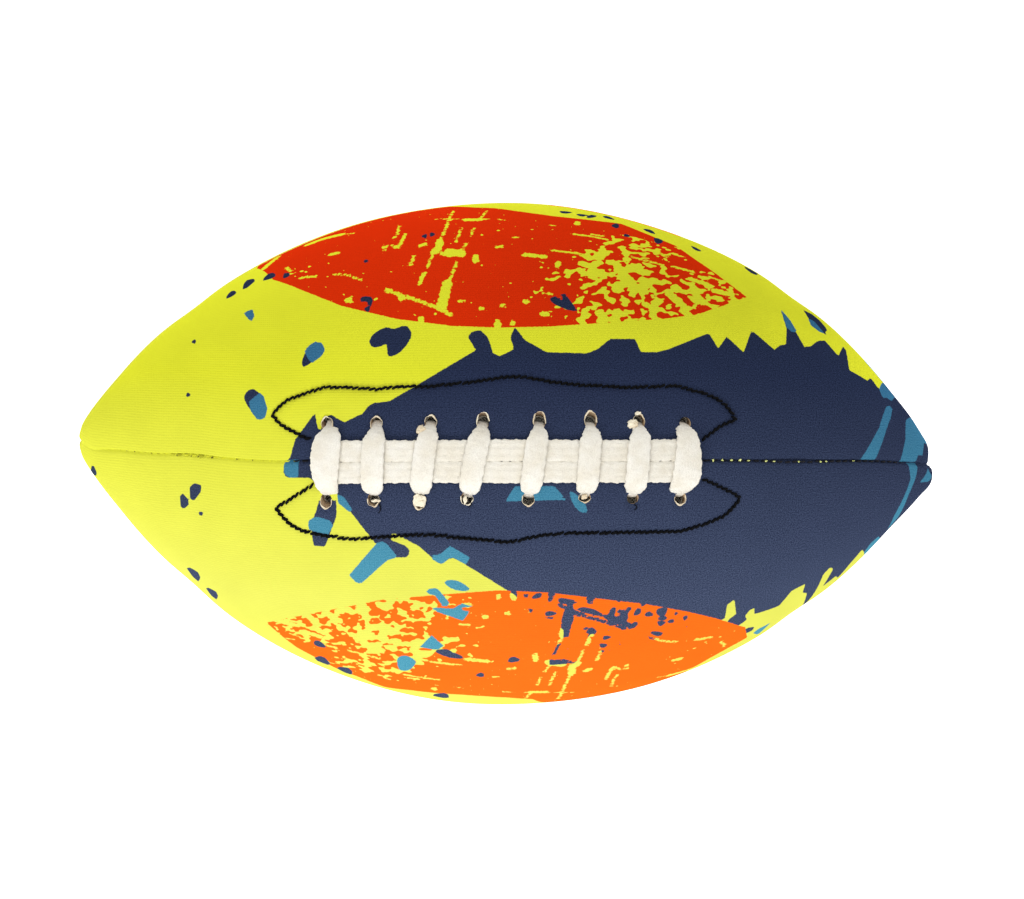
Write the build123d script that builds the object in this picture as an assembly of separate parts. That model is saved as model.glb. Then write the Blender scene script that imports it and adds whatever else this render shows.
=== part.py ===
from build123d import *
import os
from math import asin, atan2, cos, degrees, hypot, sin, radians, sqrt

# An inflated, pointed ball of printed foam fabric: four sewn panels over a bladder, closed by a lace.
# Millimetres. The long axis is X, the lace is on top (+Z), and the ball lies on Z = 0.
# The solids are made about the ball's centre and lifted by its radius when they are written.

# Driving dimensions of the ball
BALL_LENGTH = 280.0
BALL_DIAMETER = 165.0
NOSE_RADIUS = 12.5

# Layers, as depths below the outer surface: (outer face, inner face)
COVER = (0.0, 3.0)
LINING = (3.05, 3.85)
PATCH = (3.9, 4.9)
GUARD = (9.3, 10.3)
BLADDER = (3.95, 4.95)

# Sewn seams
GROOVE_RADIUS = 0.8
GROOVE_DEPTH = 0.35
THREAD_RADIUS = 0.45
THREAD_DEPTH = 0.6
THREAD_END_ANGLE = 12.0

# Lace opening and lace holes
OPENING_END = 66.0
HOLE_RADIUS = 2.0
HOLE_Y = 13.4
HOLE_X_REAR = (-58.6, -42.4, -24.6, -7.4, 11.1, 27.9, 43.7, 58.9)
HOLE_X_FRONT = (-58.9, -43.4, -28.2, -12.7, 7.4, 25.9, 41.7, 57.3)

# Lace
LACE_THICKNESS = 1.5
STRAND_WIDTH = 7.2
STRAND_Y = 3.8
STRAND_END = 62.0
WRAP_WIDTH = 7.4
LACE_GAP = 0.1
LEG_RADIUS = 1.7
INNER_RUN_RADIUS = 1.3
INNER_RUN_DEPTH = 6.4
TAIL_LENGTH = 14.0

# Reinforcing patch beside the lace opening: arcs of its rear half outline, from end to end
PATCH_ARCS = (
    ((-65.0, 7.0), (-71.5, 9.6), (-76.7, 14.2)),
    ((-76.7, 14.2), (-69.0, 20.2), (-57.0, 23.4)),
    ((-57.0, 23.4), (-38.0, 24.6), (-20.0, 24.8)),
    ((-20.0, 24.8), (1.0, 27.4), (22.0, 25.0)),
    ((22.0, 25.0), (42.0, 24.6), (60.0, 23.4)),
    ((60.0, 23.4), (69.0, 19.8), (75.7, 13.8)),
    ((75.7, 13.8), (70.0, 9.8), (64.5, 7.0)),
)
PATCH_SEAM_Y = 0.6
STITCH_WIDTH = 0.9
STITCH_HEIGHT = 0.45
STITCH_INSET = 2.2

# Guard strip under the lace opening
GUARD_LENGTH = 158.0
GUARD_WIDTH = 40.0
STRIP_CORNER = 18.0

# Hollow that the lace, its patches and the guard press into the bladder
DENT_LENGTH = 166.0
DENT_WIDTH = 64.0
DENT_DEPTH = 10.4

# Inflation valve, in the middle of the lower rear panel
VALVE_ANGLE = -45.0
VALVE_HOLE_RADIUS = 4.1
VALVE_NECK_RADIUS = 4.0
VALVE_TOP = 0.3
VALVE_FLANGE = (5.0, 6.5)
VALVE_FLANGE_RADIUS = 11.0
VALVE_STEM_END = 20.0
CORE_SEAT_RADIUS = 2.5
CORE_RADIUS = 2.45
CORE_SPAN = (0.8, 17.3)
NEEDLE_RADIUS = 1.0

# Worked out: the long arc of the outline passes through the widest point and runs into the nose arc
half_length = BALL_LENGTH / 2
ball_radius = BALL_DIAMETER / 2
nose_x = half_length - NOSE_RADIUS
belly = ball_radius - NOSE_RADIUS
arc_drop = (nose_x**2 - belly**2) / (2 * belly)
arc_radius = arc_drop + ball_radius
join_angle = atan2(nose_x, arc_drop)
lift = Pos(0, 0, ball_radius)


def outline(depth):
    """Three arcs of the half outline at a depth, from the left tip over the top to the right tip."""
    main = arc_radius - depth
    nose = NOSE_RADIUS - depth
    tip = Vector(nose_x + nose, 0)
    join = Vector(main * sin(join_angle), main * cos(join_angle) - arc_drop)
    mid_angle = (radians(90) - join_angle) / 2
    mid = Vector(nose_x + nose * cos(mid_angle), nose * sin(mid_angle))
    left_tip, left_mid, left_join = (Vector(-p.X, p.Y) for p in (tip, mid, join))
    return [
        ThreePointArc(left_tip, left_mid, left_join),
        ThreePointArc(left_join, (0, ball_radius - depth), join),
        ThreePointArc(join, mid, tip),
    ]


def core_body(depth):
    """Solid of revolution: everything deeper than a depth."""
    tip = half_length - depth
    return revolve(make_face(Wire(outline(depth) + [Line((tip, 0), (-tip, 0))])), Axis.X, 360)


def shell(layer, sweep):
    """Shell between two depths, turned about the long axis from +Y towards +Z."""
    outer, inner = layer
    ends = [
        Line((half_length - outer, 0), (half_length - inner, 0)),
        Line((inner - half_length, 0), (outer - half_length, 0)),
    ]
    return revolve(make_face(Wire(outline(outer) + outline(inner) + ends)), Axis.X, sweep)


def surface_height(x, depth=0.0):
    """Distance from the long axis to the surface at x, along the long arc."""
    return sqrt((arc_radius - depth) ** 2 - x**2) - arc_drop


def surface_plane(x, y, depth=0.0):
    """Plane on the upper surface above (x, y), with its Z axis along the outward normal."""
    r = surface_height(x, depth)
    z = sqrt(r**2 - y**2)
    slope = x / (r + arc_drop)
    normal = Vector(slope, y / r, z / r)
    return Plane(origin=(x, y, z), z_dir=normal)


def along_seam(section_radius, depth, end_angle, from_x, to_x):
    """Round bead along the top seam, between two X positions, or tip to tip where they are None."""
    axis_line = Axis((0, 0, -arc_drop), (0, 1, 0))
    start = -join_angle if from_x is None else asin(from_x / arc_radius)
    stop = join_angle if to_x is None else asin(to_x / arc_radius)
    section = Plane(origin=(0, 0, ball_radius - depth), z_dir=(1, 0, 0)) * Circle(section_radius)
    bead = revolve(section.rotate(axis_line, degrees(start)), axis_line, degrees(stop - start))
    nose_turn = 90 - degrees(join_angle) - end_angle
    for side, wanted in ((-1, from_x is None), (1, to_x is None)):
        if wanted:
            nose_axis = Axis((side * nose_x, 0, 0), (0, 1, 0))
            top = Plane(origin=(side * nose_x, 0, NOSE_RADIUS - depth), z_dir=(1, 0, 0))
            first = (top * Circle(section_radius)).rotate(nose_axis, side * degrees(join_angle))
            bead += revolve(first, nose_axis, side * nose_turn)
    return bead


def seam_groove():
    return along_seam(GROOVE_RADIUS, GROOVE_DEPTH, 0, None, None)


def patch_face():
    """Flat shape of the rear patch, seen from above, with its edge one stitch inset past the thread."""
    return offset(stitch_line_face(), STITCH_INSET)


def stitch_line_face():
    """Area inside the stitch line: curved outer edge, two pointed ends, straight edge at the seam."""
    (start_x, start_y), (end_x, end_y) = PATCH_ARCS[0][0], PATCH_ARCS[-1][-1]
    arcs = [ThreePointArc(*points) for points in PATCH_ARCS]
    base = Polyline((end_x, end_y), (end_x, PATCH_SEAM_Y), (start_x, PATCH_SEAM_Y), (start_x, start_y))
    return make_face(Wire(arcs + base.edges()))


def raise_shape(face, layer):
    """Part of the upper half shell between two depths that lies above or below a flat shape."""
    return shell(layer, 180) & extrude(face, BALL_DIAMETER)


def lace_holes(radius):
    """Sixteen round punches along the surface normals, eight on each side of the seam."""
    punches = []
    for side, places in ((1, HOLE_X_REAR), (-1, HOLE_X_FRONT)):
        for x in places:
            punches.append(surface_plane(x, side * HOLE_Y) * Cylinder(radius, 4 * DENT_DEPTH))
    return punches


def valve_frame(depth):
    """Location on the valve's axis at a depth, Z pointing out of the ball."""
    return Rot(VALVE_ANGLE, 0, 0) * Pos(0, ball_radius - depth, 0) * Rot(-90, 0, 0)


def valve_cylinder(radius, span):
    outer, inner = span
    return valve_frame((outer + inner) / 2) * Cylinder(radius, inner - outer)


def cover_panel(turn, punches):
    """Quarter of the cover, grooved along its two seams; the quarter turns into place last."""
    panel = shell(COVER, 90)
    for seam in (0, -90):
        panel -= Rot(seam, 0, 0) * groove
    panel = Rot(turn, 0, 0) * panel
    for punch in punches:
        panel -= punch
    return panel


def lining_panel(turn, punches):
    lining = Rot(turn, 0, 0) * shell(LINING, 90)
    for punch in punches:
        lining -= punch
    return lining


def patch(side):
    face = patch_face() & (Pos(0, PATCH_SEAM_Y + GUARD_WIDTH / 2) * Rectangle(BALL_LENGTH, GUARD_WIDTH))
    shape = raise_shape(face, PATCH)
    if side < 0:
        shape = mirror(shape, Plane.XZ)
    for punch in lace_holes(HOLE_RADIUS):
        shape -= punch
    return shape


def patch_stitching(side):
    """Thread band lying on the cover along the patch's outline, open beside the lace."""
    half = STITCH_WIDTH / 2
    line = offset(stitch_line_face(), half) - offset(stitch_line_face(), -half)
    seam_side = PATCH_ARCS[0][0][1]
    line &= Pos(0, seam_side + GUARD_WIDTH / 2) * Rectangle(BALL_LENGTH, GUARD_WIDTH)
    shape = raise_shape(line, (-STITCH_HEIGHT, -0.02))
    if side < 0:
        shape = mirror(shape, Plane.XZ)
    return shape


def bladder_guard():
    """Loose fabric strip between the lace's inner runs and the bladder."""
    return raise_shape(RectangleRounded(GUARD_LENGTH, GUARD_WIDTH, STRIP_CORNER), GUARD)


def bladder():
    """Closed shell that fills the lining, pressed in under the lace, with a hole for the valve."""
    wall = BLADDER[1] - BLADDER[0]
    dent = extrude(RectangleRounded(DENT_LENGTH, DENT_WIDTH, STRIP_CORNER), BALL_DIAMETER)
    outside = core_body(BLADDER[0]) - (dent - core_body(DENT_DEPTH))
    wider = RectangleRounded(DENT_LENGTH + 2 * wall, DENT_WIDTH + 2 * wall, STRIP_CORNER + wall)
    inside = core_body(BLADDER[1]) - (extrude(wider, BALL_DIAMETER) - core_body(DENT_DEPTH + wall))
    return outside - inside - valve_cylinder(VALVE_HOLE_RADIUS, (0, VALVE_FLANGE[1]))


def valve_housing():
    """Rubber neck with a flange bonded to the inside of the bladder and a seat for the core."""
    ring = core_body(VALVE_FLANGE[0]) - core_body(VALVE_FLANGE[1])
    flange = ring & valve_cylinder(VALVE_FLANGE_RADIUS, (0, VALVE_STEM_END))
    body = flange + valve_cylinder(VALVE_NECK_RADIUS, (VALVE_TOP, VALVE_STEM_END))
    return body - valve_cylinder(CORE_SEAT_RADIUS, (0, VALVE_STEM_END + 1))


def valve_core():
    return valve_cylinder(CORE_RADIUS, CORE_SPAN) - valve_cylinder(NEEDLE_RADIUS, (0, VALVE_STEM_END))


def rod(start, end, radius):
    """Round run between two points, with a ball at each end so that runs join smoothly."""
    run = Plane(origin=start, z_dir=end - start) * Cylinder(
        radius, (end - start).length, align=(Align.CENTER, Align.CENTER, Align.MIN)
    )
    return run + Pos(start) * Sphere(radius) + Pos(end) * Sphere(radius)


def lace_wrap(rear_x, front_x):
    """Flat crossing band over both strands, bent down to the two holes it joins."""
    middle = (rear_x + front_x) / 2
    across = Vector(rear_x - front_x, 2 * HOLE_Y)
    half_span = across.length / 2
    under = LACE_GAP + LACE_THICKNESS + LACE_GAP
    centre = under + LACE_THICKNESS / 2
    shoulder = STRAND_Y + STRAND_WIDTH / 2 + LACE_GAP
    foot = -(HOLE_Y**2) / BALL_DIAMETER + LACE_THICKNESS / 2 + LACE_GAP
    right = [(shoulder, centre), (half_span - 1.2, foot + 0.8), (half_span + 0.2, foot + 0.1)]
    left = [(-x, z) for x, z in reversed(right)]
    path = FilletPolyline(*left, *right, radius=0.8)
    band = extrude(trace(path, LACE_THICKNESS), WRAP_WIDTH / 2, both=True)
    surface = surface_plane(middle, 0)
    upright = Plane(origin=surface.origin, x_dir=across, z_dir=across.cross(surface.z_dir))
    return upright * band


def lace():
    """One flat cord: two long strands, eight crossings, their legs and the runs inside."""
    axis_line = Axis((0, 0, -arc_drop), (0, 1, 0))
    turn = degrees(asin(STRAND_END / arc_radius))
    height = LACE_GAP + LACE_THICKNESS / 2
    cord = None
    for side in (1, -1):
        flat = Plane(origin=(0, side * STRAND_Y, ball_radius + height), x_dir=(0, 1, 0), z_dir=(1, 0, 0))
        section = flat * RectangleRounded(STRAND_WIDTH, LACE_THICKNESS, LACE_THICKNESS / 2.2)
        strand = revolve(section.rotate(axis_line, -turn), axis_line, 2 * turn)
        cord = strand if cord is None else cord + strand
    for end in (-1, 1):
        base = surface_plane(end * STRAND_END, 0)
        fold_height = LACE_GAP + LACE_THICKNESS + LACE_GAP / 2
        centre = base.origin + base.z_dir * fold_height
        fold = Cylinder(fold_height - LACE_GAP, 2 * (STRAND_Y + STRAND_WIDTH / 2))
        cord += Plane(origin=centre, z_dir=(0, 1, 0)) * fold
    bottoms = {1: [], -1: []}
    for rear_x, front_x in zip(HOLE_X_REAR, HOLE_X_FRONT):
        cord += lace_wrap(rear_x, front_x)
        for side, x in ((1, rear_x), (-1, front_x)):
            hole = surface_plane(x, side * HOLE_Y)
            top = hole.origin + hole.z_dir * (LACE_THICKNESS / 2)
            bottom = hole.origin - hole.z_dir * INNER_RUN_DEPTH
            cord += Plane(origin=bottom, z_dir=hole.z_dir) * Cylinder(
                LEG_RADIUS, (top - bottom).length, align=(Align.CENTER, Align.CENTER, Align.MIN)
            )
            bottoms[side].append(bottom)
    for front_bottom, rear_bottom in zip(bottoms[-1][:-1], bottoms[1][1:]):
        cord += rod(front_bottom, rear_bottom, INNER_RUN_RADIUS)
    for side, end, bottom in ((1, -1, bottoms[1][0]), (-1, 1, bottoms[-1][-1])):
        x = bottom.X + end * TAIL_LENGTH
        under = surface_plane(x, side * HOLE_Y, 0)
        cord += rod(bottom, under.origin - under.z_dir * INNER_RUN_DEPTH, INNER_RUN_RADIUS)
    return cord


groove = seam_groove()
punches = lace_holes(HOLE_RADIUS)
rear_punches = punches[: len(HOLE_X_REAR)]
front_punches = punches[len(HOLE_X_REAR) :]
valve_punch = [valve_cylinder(VALVE_HOLE_RADIUS, (-2, VALVE_STEM_END))]

nodes = {
    "panel_upper_rear": cover_panel(0, rear_punches),
    "panel_upper_front": cover_panel(90, front_punches),
    "panel_lower_front": cover_panel(180, []),
    "panel_lower_rear": cover_panel(270, valve_punch),
    "lining_upper_rear": lining_panel(0, rear_punches),
    "lining_upper_front": lining_panel(90, front_punches),
    "lining_lower_front": lining_panel(180, []),
    "lining_lower_rear": lining_panel(270, valve_punch),
    "lace_patch_rear": patch(1),
    "lace_patch_front": patch(-1),
    "patch_stitching_rear": patch_stitching(1),
    "patch_stitching_front": patch_stitching(-1),
    "lace": lace(),
    "bladder_guard": bladder_guard(),
    "bladder": bladder(),
    "valve_housing": valve_housing(),
    "valve_core": valve_core(),
    "seam_thread_top_left": along_seam(THREAD_RADIUS, THREAD_DEPTH, THREAD_END_ANGLE, None, -OPENING_END),
    "seam_thread_top_right": along_seam(THREAD_RADIUS, THREAD_DEPTH, THREAD_END_ANGLE, OPENING_END, None),
}
full_thread = along_seam(THREAD_RADIUS, THREAD_DEPTH, THREAD_END_ANGLE, None, None)
for name, turn in (("front", 90), ("bottom", 180), ("rear", 270)):
    nodes[f"seam_thread_{name}"] = Rot(turn, 0, 0) * full_thread

os.makedirs("parts", exist_ok=True)
for name, shape in nodes.items():
    placed = lift * shape
    export_step(placed, f"parts/{name}.step")
    box = placed.bounding_box()
    print(f"{name:24s} {placed.volume:10.1f} mm3  z {box.min.Z:7.2f} to {box.max.Z:7.2f}")
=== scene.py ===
import math

import bpy
import numpy as np
from mathutils import Matrix, Vector


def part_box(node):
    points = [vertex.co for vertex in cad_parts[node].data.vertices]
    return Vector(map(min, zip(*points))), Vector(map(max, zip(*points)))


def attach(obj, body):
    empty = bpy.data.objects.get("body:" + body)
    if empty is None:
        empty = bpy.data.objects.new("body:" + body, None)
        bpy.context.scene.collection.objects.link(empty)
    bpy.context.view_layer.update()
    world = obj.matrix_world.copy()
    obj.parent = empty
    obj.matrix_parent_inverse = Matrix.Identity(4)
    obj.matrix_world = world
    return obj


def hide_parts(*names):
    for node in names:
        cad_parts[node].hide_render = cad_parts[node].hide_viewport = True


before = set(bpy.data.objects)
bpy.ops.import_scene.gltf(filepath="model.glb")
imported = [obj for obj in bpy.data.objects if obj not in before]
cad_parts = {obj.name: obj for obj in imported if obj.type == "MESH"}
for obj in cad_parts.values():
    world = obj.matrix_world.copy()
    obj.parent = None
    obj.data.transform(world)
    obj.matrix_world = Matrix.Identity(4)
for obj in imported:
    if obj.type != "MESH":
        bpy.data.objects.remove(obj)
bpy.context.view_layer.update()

# A pointed ball of printed foam fabric, lying on its belly with the lace on top.
# Sizes are in millimetres and become metres where a mesh is made. A place on the cover is given
# flat: t along the ball from its middle, w across from a seam, h out from the skin.

MM = 0.001
HALF_LENGTH = 140.0
NOSE_RADIUS = 12.5
AXIS_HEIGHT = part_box("panel_upper_rear")[0].z / MM
BALL_RADIUS = AXIS_HEIGHT
SKIN = 3.0
QUARTER = math.pi / 2

nose_x = HALF_LENGTH - NOSE_RADIUS
belly = BALL_RADIUS - NOSE_RADIUS
arc_drop = (nose_x**2 - belly**2) / (2 * belly)
arc_radius = arc_drop + BALL_RADIUS
join_angle = math.atan2(nose_x, arc_drop)
main_half = arc_radius * join_angle
TIP_RADIUS = 0.5
tip_t = main_half + NOSE_RADIUS * (QUARTER - join_angle - TIP_RADIUS / NOSE_RADIUS)

# The ball is seen rolled about its long axis by this much, so the outlines below are rolled back.
ROLL = math.radians(1.65)

rng = np.random.default_rng(7)


# --- Shape of the ball ---

def meridian(t):
    """x, radius and outward normal (along, out) of the outline at arc length t from the middle."""
    t = np.asarray(t, float)
    over = np.maximum(np.abs(t) - main_half, 0)
    angle = np.minimum(np.abs(t), main_half) / arc_radius + over / NOSE_RADIUS
    on_nose = over > 0
    sin, cos = np.sin(angle), np.cos(angle)
    x = np.where(on_nose, nose_x + NOSE_RADIUS * sin, arc_radius * sin)
    r = np.where(on_nose, NOSE_RADIUS * cos, arc_radius * cos - arc_drop)
    return np.sign(t) * x, r, np.sign(t) * sin, cos


def arc_length(x):
    """Arc length t from the middle to the place where the outline is at x."""
    x = np.asarray(x, float)
    far = np.abs(x) - arc_radius * math.sin(join_angle)
    nose = main_half + NOSE_RADIUS * (
        np.arcsin(np.clip((np.abs(x) - nose_x) / NOSE_RADIUS, -1, 1)) - join_angle
    )
    main = arc_radius * np.arcsin(np.clip(np.abs(x) / arc_radius, 0, 1))
    return np.sign(x) * np.where(far > 0, nose, main)


# Sideways lean of the hand-sewn ball: (end, where it starts, reach, size, power). The left end leans
# to the rear and the right end to the front.
LEANS = ((-1, 0, 135, 4.3, 1.9), (1, 97, 40, -2.7, 1.7))
LEAN_IN_MIDDLE = 0.33
LEAN_PER_MM = 0.003


def bend(x):
    """How far the cover is moved sideways at x."""
    lean = LEAN_IN_MIDDLE
    for end, start, reach, size, power in LEANS:
        lean = lean + size * (np.maximum(0, end * x - start) / reach) ** power
    return lean - LEAN_PER_MM * np.maximum(0, x)


def circle(count):
    """Angles once round."""
    return np.linspace(0, math.tau, count, endpoint=False)


def unit(vectors):
    """Vectors made one long."""
    return vectors / np.maximum(np.linalg.norm(vectors, axis=-1, keepdims=True), 1e-6)


def run_along(points):
    """Distance run along a path at each of its points."""
    return np.concatenate([[0], np.cumsum(np.linalg.norm(np.diff(points, axis=0), axis=1))])


def bell(x, reach, power=2):
    """Bell curve: 1 at zero, falling away over reach."""
    return np.exp(-((x / reach) ** power))


def ramp(x, start, reach):
    """0 up to start, then a straight rise to 1 over reach."""
    return np.clip((x - start) / reach, 0, 1)


# How far the skin has slid round the ball: slowly more to the left, sooner where the lace ends
# there, and a bulge on the right
SLIDE_LEFT = 2.0
SLIDE_AT_LACE = 0.7
SLIDE_RIGHT = 1.2


def drift(t):
    """Angle by which the skin has turned about the long axis."""
    rise = ramp(-t, 5, 85)
    slide = SLIDE_LEFT * rise**2 * (3 - 2 * rise) + SLIDE_AT_LACE * ramp(-t, 58, 17)
    slide = slide + SLIDE_RIGHT * bell(t - 107, 20)
    return slide / np.maximum(meridian(t)[1], 10)


def place(t, phi, h=0.0):
    """Point of the ball at arc length t and angle phi from the top seam, h above the skin."""
    x, r, out_x, out_r = meridian(t)
    phi = phi - drift(t) * np.clip(1 + h / SKIN, 0, 1)
    x = x + out_x * h
    r = r + out_r * h
    return np.stack([x, r * np.sin(phi) + bend(x), AXIS_HEIGHT + r * np.cos(phi)], -1)


def place_flat(points, seam=0.0):
    """Flat points (t, w, h), w measured from the seam at angle seam, put on the ball."""
    points = np.asarray(points, float)
    t, w, h = points[..., 0], points[..., 1], points[..., 2]
    return place(t, seam + w / np.maximum(meridian(t)[1], TIP_RADIUS), h)


def flat(x, y):
    """Flat (t, w) of a point seen from above at (x, y); past the outline it goes on round the side."""
    x, y = np.asarray(x, float), np.asarray(y, float)
    t = arc_length(np.clip(x, -HALF_LENGTH, HALF_LENGTH))
    t = t + np.where(np.abs(x) > HALF_LENGTH, x - np.sign(x) * HALF_LENGTH, 0)
    r = np.maximum(meridian(t)[1], TIP_RADIUS)
    side = (y - bend(x)) / r
    turn = np.arcsin(np.clip(side, -1, 1)) + np.sign(side) * np.maximum(np.abs(side) - 1, 0) + ROLL
    return np.stack([t, r * (turn + drift(t))], -1)


# --- The print, drawn flat ---

SEEN_STEP = 9.0         # outline edges longer than this are split before they are laid on the ball

# Outlines seen from above, as x, y, x, y and so on, from the middle of the ball. Rear is +y.
ORANGE_REAR = (
    -82, 61.4, -76.5, 57.6, -72.3, 56.3, -54.3, 49.1, -35.8, 44.6, -17.3, 42.2, -1.8, 41.7, 14.7, 42.1,
    51.7, 44.6, 63.2, 46.2, 79.4, 51.8, 69.1, 59.7, 55.6, 69, 38.1, 75.9, 15.7, 78.2, -3.5, 80.9,
    -23.9, 81.8, -34.8, 86.8, -57.9, 81.5, -80.4, 66,
)
ORANGE_FRONT = (
    -78.7, -54.8, -40.4, -47.4, -1.8, -44.4, 14.7, -45.1, 45.7, -48.8, 59.2, -51.2, 69.1, -53.5,
    78.7, -56.4, 79.5, -59.8, 60.6, -70.2, 53.6, -76, 46.7, -79, 34.5, -84, 20, -84, 9, -80.4,
    -6.8, -79.3, -23.3, -78, -39.8, -76.1, -56.3, -69.7, -68.6, -63.1,
)
NAVY_FIELD = (
    -72.9, -5.6, -72.8, -3.3, -70.8, -1, -69.1, 5, -62.5, 13.9, -61.6, 8.9, -60.6, 8.1, -59.6, 12.2,
    -57.3, 13.2, -53, 10.7, -46.7, 13.7, -45.4, 15.7, -43.4, 17, -38.1, 17.7, -9.7, 34.3, -12.4, 38.6,
    -11.1, 40.3, -8.4, 40.9, -5.8, 38.6, -4.1, 33.3, -1.8, 32.3, 2.8, 34.7, 1.5, 38.6, 3.1, 41.9,
    6.4, 37.6, 13.4, 33.7, 26.6, 33.3, 30.2, 34.7, 34.2, 38, 42.4, 38, 44.4, 33.7, 49.7, 33.7,
    53.6, 34.7, 66.8, 40.1, 69.8, 35, 72.7, 38.9, 78.3, 33.7, 80.9, 41, 88.6, 34.7, 90.6, 36.3,
    92.5, 36.5, 92.7, 41.7, 90.6, 47.9, 93.9, 44.1, 98.5, 35.6, 100.5, 35.8, 102.8, 37.5, 105, 37.5,
    109.4, 32.3, 111.1, 35.6, 112, 34.2, 113, 27.8, 119.1, 24.3, 120, 25.4, 122.6, 21.8, 127.9, 18.8,
    138.4, 9.9, 150, 4, 150, -12, 125.6, -27, 118.4, -32.2, 117.5, -31, 109.2, -40.3, 108.7, -39.6,
    104.3, -43.1, 107.8, -37.3, 106.8, -36.8, 104.5, -39.3, 101, -46.4, 97.6, -50.3, 99.3, -45.5,
    97.9, -45.5, 98.8, -42.6, 94.4, -45, 90.1, -49.7, 81.7, -52.1, 81.7, -50.2, 80.2, -50.7,
    78.6, -52.8, 79.3, -53.8, 78.3, -54.7, 75.4, -56.6, 72.4, -56.3, 73.1, -54, 75.7, -52.1,
    75.1, -47.2, 72.7, -49.2, 72, -53.5, 64.2, -57.1, 51.7, -57.8, 44.4, -64.4, 33.2, -69.3,
    30.5, -61.1, 28.5, -57.8, 25.9, -61.1, 22.9, -68.3, 14.4, -69, 14.4, -63.7, 19, -61.1, 19, -57.4,
    16.3, -55.1, 8.1, -51.8, 3.1, -46, -15.3, -34.7, -17.7, -33.7, -21.6, -36, -28.5, -30, -37.1, -25.7,
    -37.8, -26.9, -37.6, -28.1, -33.2, -29.7, -31.7, -31, -31.5, -32.3, -32.5, -33.7, -35.8, -33.7,
    -40.4, -29.7, -42.9, -29, -55, -13.2, -56.6, -10.2, -61.9, -10.2, -64.2, -7.6, -72.1, -7.3,
)
NAVY_SHARP = [
    (-55.4, -14.9, -55.4, -19.8, -59.2, -30, -62.9, -29.7, -64.2, -23.1, -62, -18.2, -61.2, -14.9),
    (76.2, -58.2, 79.7, -56.6, 81.7, -56.3, 81.4, -57.4, 79.3, -58.4),
    (98.2, 47.9, 100.8, 46.5, 103.3, 44.3, 105.4, 41.7, 105.8, 40.8, 105.1, 40.3, 105.7, 39.1,
     100.8, 42.9),
]
NAVY_ROUND = [
    (-31.3, 40.9, -30.9, 39, -32.3, 36.3, -34, 34.3, -36.1, 32.8, -37.8, 32.3, -38.8, 33.2, -39.1, 36.3,
     -41.4, 35.5, -43.5, 35.4, -44.5, 36.3, -44.7, 37.6, -43.5, 39.6, -41.4, 41.1, -38.9, 41.9,
     -36.5, 41.3, -34.5, 42.1, -32.5, 42.3),
    (-60.6, 36.3, -59.9, 34.7, -60.6, 33, -62.4, 31.4, -66.2, 28.9, -66.9, 30.5, -66.2, 32.8,
     -64.5, 35.5, -62.4, 37),
    (-85.1, 20.6, -82.7, 21.6, -79.8, 19, -78.7, 15.2, -79.4, 12.4, -81.4, 11.9, -85.6, 17.8),
]
TEAL_SHARP = [
    (-35.8, -33, -36, -33.8, -38.8, -34.5, -47.5, -42.2, -49.2, -41.6, -51.3, -39.3, -42.1, -28.7,
     -40.4, -28.5, -38.8, -29.4),
    (-24.4, -33, -21.6, -32.7, -18.2, -29.9, -11.7, -33.7, -13, -36.1, -17, -33.8, -18.3, -33.8,
     -21, -36, -24.1, -34.3),
    (-24.6, -50, -17.3, -50.5, -14.4, -48.8, -10.7, -49.8, -14.5, -50.2, -14, -51.2, -11.7, -51.3,
     -14, -54.5, -22.6, -51.5),
    (-80.5, 20.5, -79.3, 19, -78.2, 15.2, -79, 12.1, -81.4, 11.4, -83.8, 14.7, -84.3, 17.5),
    (-60.3, 36.7, -59.4, 34.7, -60.2, 32.6, -63.9, 30, -66.1, 33.7, -64.9, 35.8, -62.4, 37.3),
    (-83.3, 47.9, -82.5, 45.6, -83.7, 43.6, -86.2, 46.6),
    (20.3, -15.2, 18, -14.7, -0.2, -15.2, 3.1, -10.2, 16, -10.2),
    (90.6, 48.3, 94, 44.4, 96, 41, 94.9, 40.3, 92.6, 42.2),
    (99.6, 45.1, 101.5, 44.1, 104.9, 39.8, 103.3, 40.4, 100.6, 42.6),
    (123.9, 23.6, 125.2, 23.1, 128.2, 18.5, 126.9, 17.5, 125.2, 18.8, 124.1, 18.5, 122.9, 21.5),
    (126.2, 16.2, 127.2, 15, 126.6, 11.9, 121.9, -1.7, 117, -1.7, 122.9, 8.9, 125.2, 15.7),
    (133.5, 11.2, 137.5, 6.3, 138.4, 4.3, 138.1, 3, 137.1, 3.6, 136.8, -0.3, 135.5, 0, 134.8, -2.3,
     129.9, -2.3, 131.2, 5, 131.2, 10.9),
    (135.5, -2.6, 135.1, -5.3, 129.2, -20.1, 125.6, -24.8, 130.2, -14.9, 132.8, -7.6, 132.5, -2.6),
    (138.8, -4.3, 139.4, -6.3, 138.1, -7.9, 135.6, -8.7),
    (123.9, -27.2, 118.3, -33.2, 118, -32, 120.3, -29, 122.9, -26.7),
    (-55.2, -12.7, -52.8, -14, -50.2, -18.2, -51.3, -18.8, -54.8, -15.7),
    (-72.1, -2, -68.2, -1.7, -68, -7.2, -70.5, -7.6, -72.6, -6.3, -72.9, -3.6),
    (-64.8, -21.5, -62, -20.1, -57.6, -21.5, -56.5, -23.1, -58.4, -26.4, -64.6, -24.8),
    (-20.3, -62.7, -22.6, -64, -28.2, -63, -24.3, -59.1),
    (81.4, -58.4, 83, -57.1, 87.3, -55.1, 83, -58.9),
]
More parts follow.
